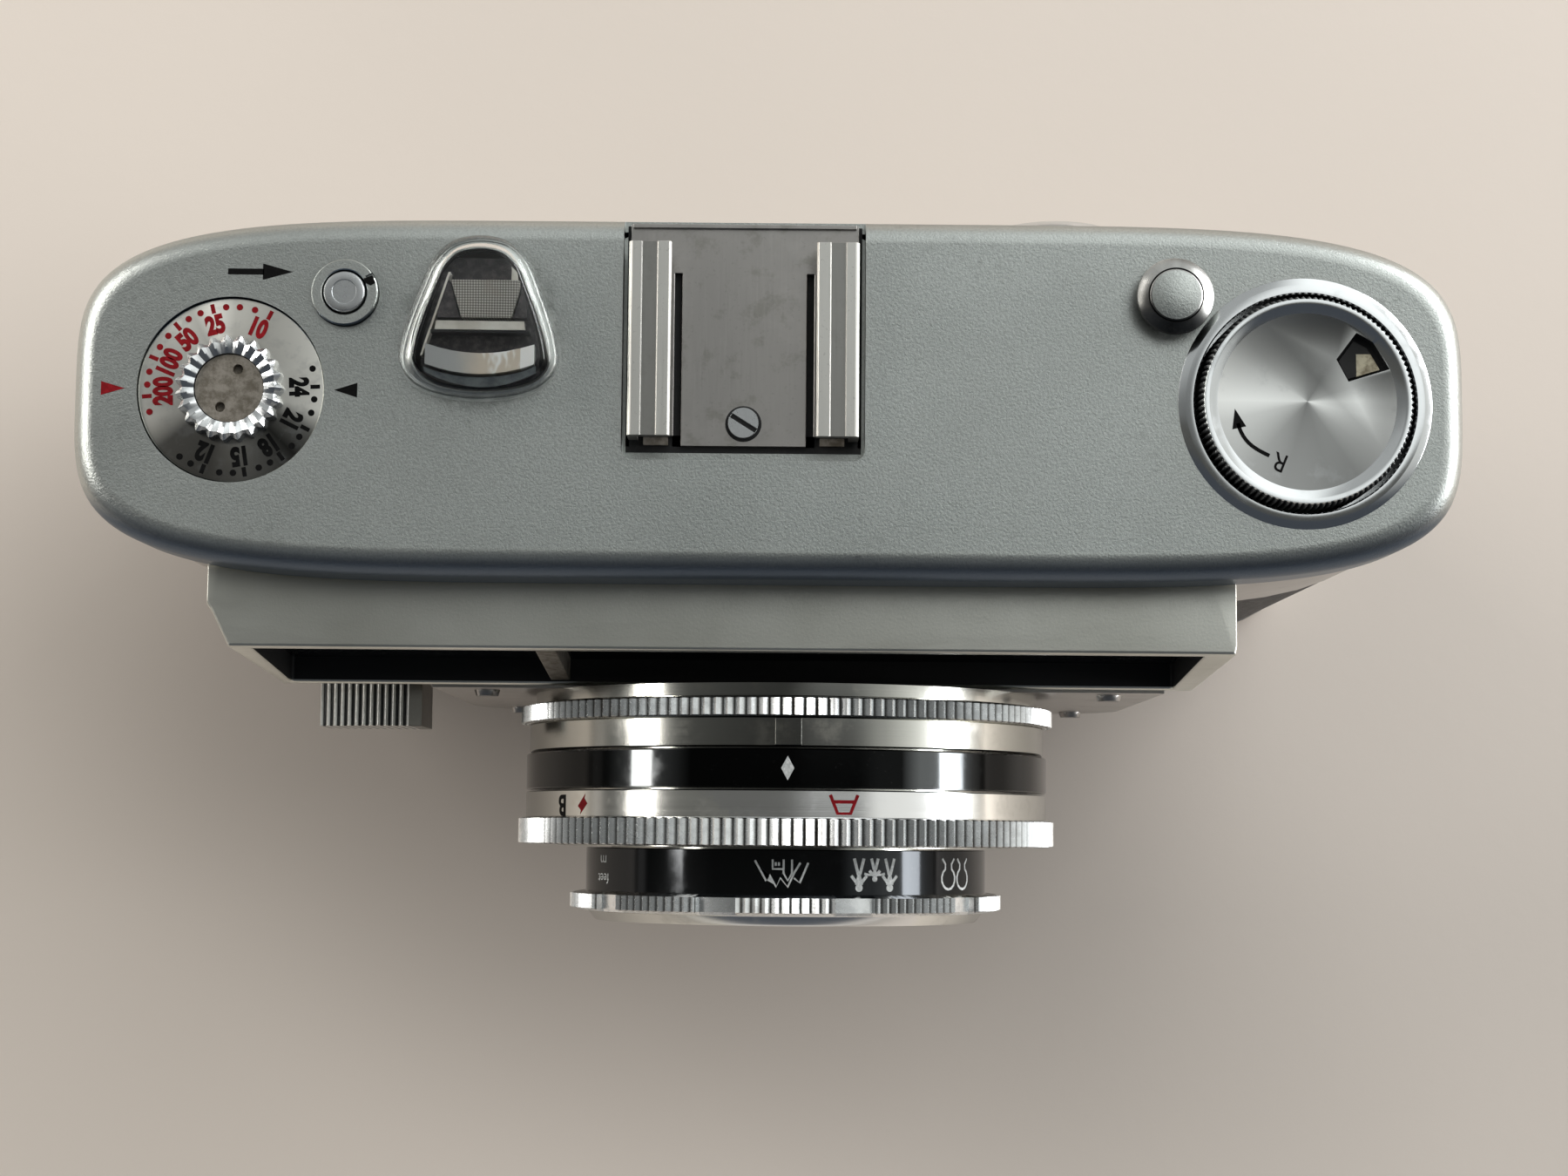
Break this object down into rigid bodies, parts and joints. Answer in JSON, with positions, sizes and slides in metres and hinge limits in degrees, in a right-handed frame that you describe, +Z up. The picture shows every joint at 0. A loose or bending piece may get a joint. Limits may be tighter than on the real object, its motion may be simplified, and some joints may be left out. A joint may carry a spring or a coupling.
{
  "type": "viewfinder camera",
  "caption": "Compact 35 mm automatic viewfinder camera with a ringed lens, wide front window, accessory shoe, film-speed dial and pop-up rewind knob.",
  "frame": {"origin": "mouth of the tripod socket, in the middle of the base plate, below the lens axis's foot", "axes": "+Z up, -Y towards the lens, +X towards the rewind knob; X runs along the camera's width"},
  "size_m": [0.124, 0.0676, 0.0847],
  "materials": {
    "satin_cover": "fine satin chrome plate",
    "satin_shell": "smooth satin plate",
    "bright_chrome": "polished edges on turned chrome",
    "turned_face": "spun finish",
    "etched_dial": "turned face with filled figures",
    "steel": "plain",
    "casting": "matt black lacquer",
    "leatherette": "fine pebbled grain",
    "black_band": "gloss black lacquer",
    "black_inside": "matt black",
    "scale_band": "satin band with filled marks",
    "clear_glass": "clear",
    "coated_glass": "blue coated",
    "ribbed_glass": "ribbed",
    "clear_plastic": "clear moulding",
    "cell": "dark light-cell surface",
    "cream": "cream",
    "white_disc": "white with figures",
    "needle": "red lacquer",
    "brass_bush": "nickelled brass"
  },
  "bodies": {
    "camera_body": {"body_casting": "casting", "cassette_casting": "casting", "satin_band": "satin_shell", "leather_wrap": "leatherette", "bottom_plate": "satin_shell", "tripod_bush": "brass_bush", "top_cover": "satin_cover", "cover_screws": "steel", "front_housing": "satin_cover", "window_divider": "bright_chrome", "finder_window": "clear_glass", "cell_window": "ribbed_glass", "selenium_cell": "cell", "finder_front_lens": "clear_glass", "finder_eye_lens": "clear_glass", "eyepiece_bezel": "bright_chrome", "dome_window": "clear_plastic", "light_block": "clear_plastic", "shoe_plate": "turned_face", "shoe_rails": "turned_face", "shoe_screw": "bright_chrome", "dial_retainer": "steel", "rewind_well": "bright_chrome", "release_spring": "steel", "lens_board": "satin_shell", "board_screws": "bright_chrome", "lens_barrel": "satin_shell", "index_band": "black_band", "rear_lens": "coated_glass", "light_meter": "black_inside", "hinge_pin": "steel", "lever_pivot": "bright_chrome", "counter_post": "steel"},
    "speed_dial": {"film_speed_dial": "etched_dial"},
    "indicator": {"transport_indicator": "turned_face"},
    "release_button": {"rewind_release": "turned_face"},
    "rewind_lift": {"rewind_sleeve": "steel"},
    "rewind_turn": {"rewind_knob": "turned_face", "rewind_shaft": "steel", "reminder_disc": "cream"},
    "catch_button": {"knob_catch": "turned_face"},
    "shutter_lever": {"release_lever": "bright_chrome"},
    "aperture": {"aperture_ring": "bright_chrome"},
    "mode": {"mode_ring": "scale_band"},
    "focusing": {"focus_ring": "black_band", "front_cell": "black_inside", "front_lens": "coated_glass"},
    "blade_left": {"shutter_blade_left": "black_inside"},
    "blade_right": {"shutter_blade_right": "black_inside"},
    "needle": {"meter_needle": "needle"},
    "spool": {"take_up_spool": "black_inside"},
    "sprocket": {"film_sprocket": "steel"},
    "door": {"back_door": "satin_shell", "door_leather": "leatherette", "plate_spring": "steel"},
    "plate": {"pressure_plate": "black_inside"},
    "latch": {"door_latch": "bright_chrome"},
    "winding_lever": {"advance_lever": "bright_chrome"},
    "counter": {"frame_counter": "white_disc"}
  },
  "joints": [
    {"name": "speed_dial_turn", "type": "hinge", "parent": "camera_body", "child": "speed_dial", "pos_m": [-0.0496, 0.0002, 0.081], "axis": [0, 0, 1], "range_deg": [0, 102]},
    {"name": "indicator_turn", "type": "hinge", "parent": "camera_body", "child": "indicator", "pos_m": [-0.0396, 0.0089, 0.08], "axis": [0, 0, 1], "continuous": true},
    {"name": "rewind_release_press", "type": "slide", "parent": "camera_body", "child": "release_button", "axis": [0, 0, -1], "range_m": [0, 0.0012], "stiffness_N_per_m": 600, "springref_m": -0.0005},
    {"name": "rewind_knob_lift", "type": "slide", "parent": "camera_body", "child": "rewind_lift", "axis": [0, 0, 1], "range_m": [0, 0.0055]},
    {"name": "rewind_knob_turn", "type": "hinge", "parent": "rewind_lift", "child": "rewind_turn", "pos_m": [0.0456, -0.00025, 0.08], "axis": [0, 0, 1], "continuous": true},
    {"name": "knob_catch_press", "type": "slide", "parent": "camera_body", "child": "catch_button", "axis": [0, 0, -1], "range_m": [0, 0.0012], "stiffness_N_per_m": 600, "springref_m": -0.0005},
    {"name": "release_lever_press", "type": "slide", "parent": "camera_body", "child": "shutter_lever", "axis": [0, 0, -1], "range_m": [0, 0.007], "stiffness_N_per_m": 150, "springref_m": -0.002, "deforming": ["release_spring"]},
    {"name": "aperture_ring_turn", "type": "hinge", "parent": "camera_body", "child": "aperture", "pos_m": [0, -0.027, 0.04], "axis": [0, -1, 0], "range_deg": [0, 90]},
    {"name": "mode_ring_turn", "type": "hinge", "parent": "camera_body", "child": "mode", "pos_m": [0, -0.036, 0.04], "axis": [0, -1, 0], "range_deg": [-14, 44]},
    {"name": "focus_ring_turn", "type": "hinge", "parent": "camera_body", "child": "focusing", "pos_m": [0, -0.042, 0.04], "axis": [0, -1, 0], "range_deg": [-60, 60]},
    {"name": "shutter_blade_right_turn", "type": "hinge", "parent": "camera_body", "child": "blade_right", "pos_m": [0.0014, -0.027, 0.054], "axis": [0, -1, 0], "range_deg": [0, 42]},
    {"name": "shutter_blade_left_turn", "type": "hinge", "parent": "camera_body", "child": "blade_left", "pos_m": [-0.0014, -0.028, 0.054], "axis": [0, -1, 0], "range_deg": [-42, 0]},
    {"name": "meter_needle_swing", "type": "hinge", "parent": "camera_body", "child": "needle", "pos_m": [-0.008, -0.004, 0.063], "axis": [0, 0, 1], "range_deg": [0, 36]},
    {"name": "take_up_spool_turn", "type": "hinge", "parent": "camera_body", "child": "spool", "pos_m": [-0.0465, 0, 0.04], "axis": [0, 0, 1], "continuous": true},
    {"name": "film_sprocket_turn", "type": "hinge", "parent": "camera_body", "child": "sprocket", "pos_m": [-0.027, 0.0039, 0.04], "axis": [0, 0, 1], "continuous": true},
    {"name": "back_door_swing", "type": "hinge", "parent": "camera_body", "child": "door", "pos_m": [-0.0572, 0.0136, 0.04], "axis": [0, 0, 1], "range_deg": [0, 110]},
    {"name": "pressure_plate_float", "type": "slide", "parent": "door", "child": "plate", "axis": [0, 1, 0], "range_m": [0, 0.0004], "stiffness_N_per_m": 800, "springref_m": -0.0008},
    {"name": "door_latch_slide", "type": "slide", "parent": "door", "child": "latch", "axis": [0, 0, 1], "range_m": [0, 0.004]},
    {"name": "advance_lever_swing", "type": "hinge", "parent": "camera_body", "child": "winding_lever", "pos_m": [-0.0465, 0, 0.0026], "axis": [0, 0, 1], "range_deg": [0, 130], "stiffness_Nm_per_rad": 0.02, "springref_deg": -11.46},
    {"name": "frame_counter_turn", "type": "hinge", "parent": "camera_body", "child": "counter", "pos_m": [-0.016, 0.002, 0.0017], "axis": [0, 0, 1], "continuous": true}
  ],
  "couplings": [
    {"joint": "indicator_turn", "follows": "film_sprocket_turn", "ratio": 1},
    {"joint": "shutter_blade_left_turn", "follows": "shutter_blade_right_turn", "ratio": -1}
  ]
}
